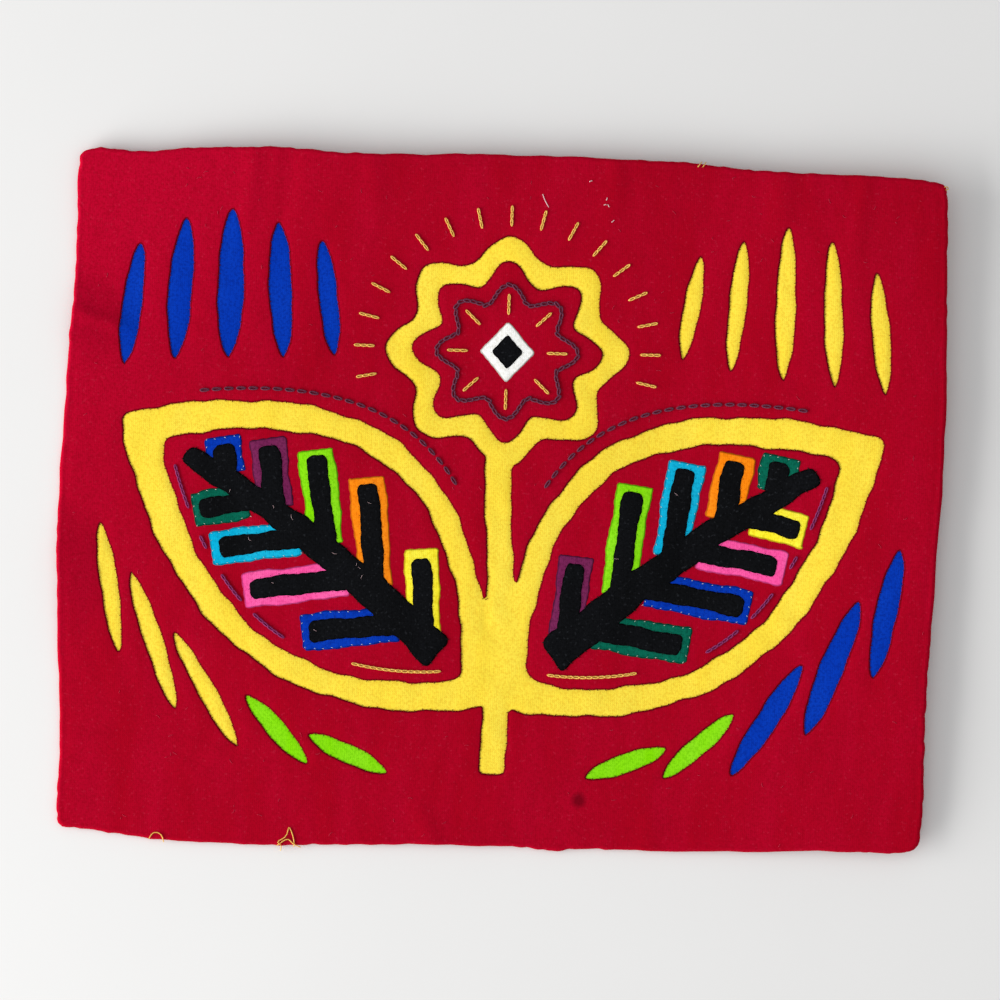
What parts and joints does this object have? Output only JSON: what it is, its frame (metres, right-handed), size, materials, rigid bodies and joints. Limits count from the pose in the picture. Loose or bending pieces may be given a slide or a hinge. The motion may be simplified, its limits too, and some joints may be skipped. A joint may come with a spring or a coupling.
{
  "type": "mola panel",
  "caption": "Rectangular appliqué cloth panel lying face up: hemmed red face, yellow under cloth in cut windows, coloured and black patches in a plant design.",
  "frame": {"origin": "middle of the panel's outline, on the surface under its back", "axes": "+X along the long side to the right of someone who looks at the face, +Y towards the top edge, +Z out of the face"},
  "size_m": [0.406, 0.3207, 0.0115],
  "materials": {
    "red_cotton": "matte hand-sewn red plain-weave cotton",
    "yellow_cotton": "matte hand-sewn yellow plain-weave cotton",
    "black_cotton": "matte hand-sewn black plain-weave cotton",
    "white_cotton": "matte hand-sewn white plain-weave cotton",
    "blue_cotton": "matte hand-sewn blue plain-weave cotton",
    "orange_cotton": "matte hand-sewn orange plain-weave cotton",
    "teal_cotton": "matte hand-sewn teal plain-weave cotton",
    "lemon_cotton": "matte hand-sewn lemon plain-weave cotton",
    "cyan_cotton": "matte hand-sewn cyan plain-weave cotton",
    "purple_cotton": "matte hand-sewn purple plain-weave cotton",
    "pink_cotton": "matte hand-sewn pink plain-weave cotton",
    "lime_cotton": "matte hand-sewn lime plain-weave cotton"
  },
  "bodies": {
    "root": {"under_cloth": "yellow_cotton", "face_cloth": "red_cotton", "leaf_field_left": "red_cotton", "leaf_rib_left": "black_cotton", "vein_patch_left_1": "lemon_cotton", "vein_patch_left_2": "orange_cotton", "vein_patch_left_3": "lime_cotton", "vein_patch_left_4": "purple_cotton", "vein_patch_left_5": "blue_cotton", "vein_patch_left_6": "blue_cotton", "vein_patch_left_7": "pink_cotton", "vein_patch_left_8": "cyan_cotton", "vein_patch_left_9": "teal_cotton", "leaf_field_right": "red_cotton", "leaf_rib_right": "black_cotton", "vein_patch_right_1": "purple_cotton", "vein_patch_right_2": "lime_cotton", "vein_patch_right_3": "cyan_cotton", "vein_patch_right_4": "orange_cotton", "vein_patch_right_5": "teal_cotton", "vein_patch_right_6": "teal_cotton", "vein_patch_right_7": "blue_cotton", "vein_patch_right_8": "pink_cotton", "vein_patch_right_9": "lemon_cotton", "blossom_field": "red_cotton", "heart_white": "white_cotton", "heart_black": "black_cotton", "slit_patch_1": "blue_cotton", "slit_patch_2": "blue_cotton", "slit_patch_3": "blue_cotton", "slit_patch_4": "blue_cotton", "slit_patch_5": "blue_cotton", "slit_patch_6": "lime_cotton", "slit_patch_7": "lime_cotton", "slit_patch_8": "blue_cotton", "slit_patch_9": "blue_cotton", "slit_patch_10": "blue_cotton", "slit_patch_11": "lime_cotton", "slit_patch_12": "lime_cotton"}
  },
  "joints": []
}
